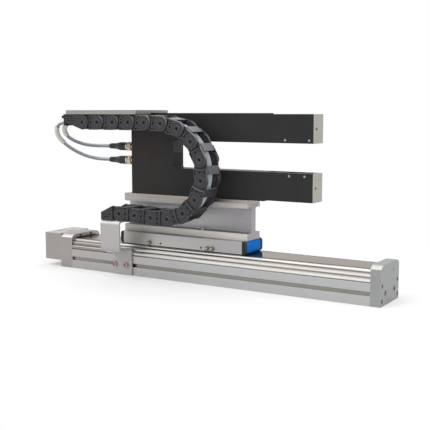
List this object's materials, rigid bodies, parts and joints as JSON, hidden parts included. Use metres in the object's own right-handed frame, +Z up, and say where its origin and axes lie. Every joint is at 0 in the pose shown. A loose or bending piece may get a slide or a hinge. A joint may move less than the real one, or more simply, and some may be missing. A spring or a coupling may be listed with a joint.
{
  "type": "thickness gauge",
  "caption": "C-shaped optical gauge on a linear axis, with a measuring gap between two arms and an energy chain for its cables.",
  "frame": {"origin": "middle of the rail's bottom face", "axes": "+X along the rail towards the open end of the arms, +Y to the back, +Z up"},
  "size_m": [0.6322, 0.1098, 0.2768],
  "materials": {
    "rail_aluminium": "natural anodised extrusion",
    "plate_aluminium": "milled, natural anodised",
    "housing_aluminium": "milled, warm grey",
    "frame_aluminium": "milled",
    "cap_aluminium": "warm silver, fine brushed",
    "shelf_metal": "warm grey anodised plate",
    "black_anodised": "satin black",
    "bracket_sheet": "bent sheet, light grey",
    "strip_steel": "polished spring steel",
    "ground_steel": "ground",
    "screw_steel": "dark steel",
    "zinc_steel": "bright zinc plated",
    "nickel_brass": "nickel-plated brass, knurled",
    "chain_plastic": "moulded, fine grain",
    "black_plastic": "moulded",
    "blue_plastic": "moulded, satin blue",
    "white_sleeve": "clear label sleeve over white paper",
    "cable_jacket": "smooth grey-blue jacket",
    "chain_cable_jacket": "smooth pale grey jacket",
    "window_glass": "flat optical window"
  },
  "bodies": {
    "rail": {"rail_profile": "rail_aluminium", "guide_rail": "ground_steel", "cover_strip": "strip_steel", "end_plate_left": "plate_aluminium", "end_plate_right": "plate_aluminium", "plate_screws": "screw_steel", "coupling_housing": "housing_aluminium", "screw_bearings": "ground_steel", "chain_bracket": "bracket_sheet", "bracket_fasteners": "zinc_steel", "chain_fixed_end": "chain_plastic", "chain_link_13": "chain_plastic", "chain_link_14": "chain_plastic", "chain_link_15": "chain_plastic", "chain_cables_lower": "chain_cable_jacket"},
    "screw": {"ball_screw": "ground_steel", "coupling_hub": "housing_aluminium"},
    "chain_loop": {"chain_link_06": "chain_plastic", "chain_link_07": "chain_plastic", "chain_link_08": "chain_plastic", "chain_link_09": "chain_plastic", "chain_link_10": "chain_plastic", "chain_link_11": "chain_plastic", "chain_link_12": "chain_plastic", "chain_cables_bend": "chain_cable_jacket"},
    "carriage": {"carriage_body": "rail_aluminium", "runner_blocks": "ground_steel", "screw_nut": "ground_steel", "corner_caps": "black_plastic", "end_covers": "blue_plastic", "grease_nipples": "nickel_brass", "adapter_profile": "rail_aluminium", "adapter_screws": "zinc_steel", "spacer_plate": "frame_aluminium", "frame_core": "black_anodised", "front_panel": "black_anodised", "back_panel": "black_anodised", "upper_end_cap": "cap_aluminium", "lower_end_cap": "cap_aluminium", "frame_covers": "black_anodised", "frame_screws": "zinc_steel", "sensor_heads": "black_plastic", "sensor_windows": "window_glass", "panel_sockets": "nickel_brass", "plug_nuts": "nickel_brass", "plug_bodies": "black_plastic", "upper_cable": "cable_jacket", "lower_cable": "cable_jacket", "cable_sleeves": "white_sleeve", "top_plate": "shelf_metal", "chain_tray": "shelf_metal", "chain_moving_end": "chain_plastic", "strain_relief": "black_plastic", "chain_link_01": "chain_plastic", "chain_link_02": "chain_plastic", "chain_link_03": "chain_plastic", "chain_link_04": "chain_plastic", "chain_link_05": "chain_plastic", "chain_cables_upper": "chain_cable_jacket"}
  },
  "joints": [
    {"name": "carriage_slide", "type": "slide", "parent": "rail", "child": "carriage", "axis": [1, 0, 0], "range_m": [-0.095, 0.2], "deforming": ["chain_link_01", "chain_link_02", "chain_link_03", "chain_link_04", "chain_link_05", "chain_link_13", "chain_link_14", "chain_link_15", "chain_cables_upper", "chain_cables_lower"]},
    {"name": "chain_roll", "type": "slide", "parent": "rail", "child": "chain_loop", "axis": [1, 0, 0], "range_m": [-0.0476, 0.1001]},
    {"name": "screw_spin", "type": "hinge", "parent": "rail", "child": "screw", "pos_m": [0, 0, 0.038], "axis": [1, 0, 0], "range_deg": [-7201, 3421]}
  ],
  "couplings": [
    {"joint": "chain_roll", "follows": "carriage_slide", "ratio": 0.5},
    {"joint": "screw_spin", "follows": "carriage_slide", "rad_per_m": -628.32}
  ]
}
